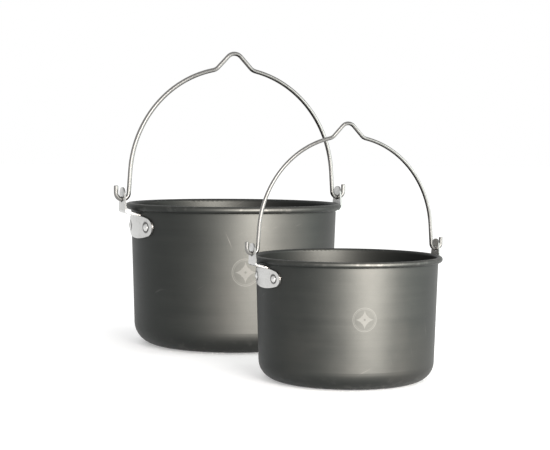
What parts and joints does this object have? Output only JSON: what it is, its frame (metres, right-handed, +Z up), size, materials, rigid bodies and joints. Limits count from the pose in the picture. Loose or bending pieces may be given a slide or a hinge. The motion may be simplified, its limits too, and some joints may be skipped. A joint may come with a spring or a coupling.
{
  "type": "hanging cooking pot set",
  "caption": "Camping pots, a large and a small one, each with a curled rim, riveted side ears and an arched wire bail with hooked ends and a raised crown for hanging over a fire.",
  "frame": {"origin": "middle of the large pot's base, on the surface that it stands on", "axes": "+Z up; +X along both bails' hinge axes, to the right as seen from the front; -Y towards the front, where the small pot stands"},
  "size_m": [0.234, 0.399, 0.2698],
  "materials": {
    "anodised_aluminium": "hard-anodised, satin, dark grey",
    "ear_steel": "stamped, bright satin",
    "rivet_aluminium": "bright",
    "bail_wire": "polished stainless wire"
  },
  "bodies": {
    "pot_large": {"large_pot_body": "anodised_aluminium", "large_ear_left": "ear_steel", "large_ear_right": "ear_steel", "large_rivets_left": "rivet_aluminium", "large_rivets_right": "rivet_aluminium"},
    "bail_large": {"large_bail": "bail_wire"},
    "pot_small": {"small_pot_body": "anodised_aluminium", "small_ear_left": "ear_steel", "small_ear_right": "ear_steel", "small_rivets_left": "rivet_aluminium", "small_rivets_right": "rivet_aluminium"},
    "bail_small": {"small_bail": "bail_wire"}
  },
  "joints": [
    {"name": "bail_large_swing", "type": "hinge", "parent": "pot_large", "child": "bail_large", "pos_m": [0, 0, 0.134], "axis": [1, 0, 0], "range_deg": [-120, 120]},
    {"name": "pot_small_lift", "type": "slide", "parent": "pot_large", "child": "pot_small", "axis": [0, 0, 1], "range_m": [0, 0.3]},
    {"name": "bail_small_swing", "type": "hinge", "parent": "pot_small", "child": "bail_small", "pos_m": [0, -0.224, 0.1005], "axis": [1, 0, 0], "range_deg": [-120, 120]}
  ]
}
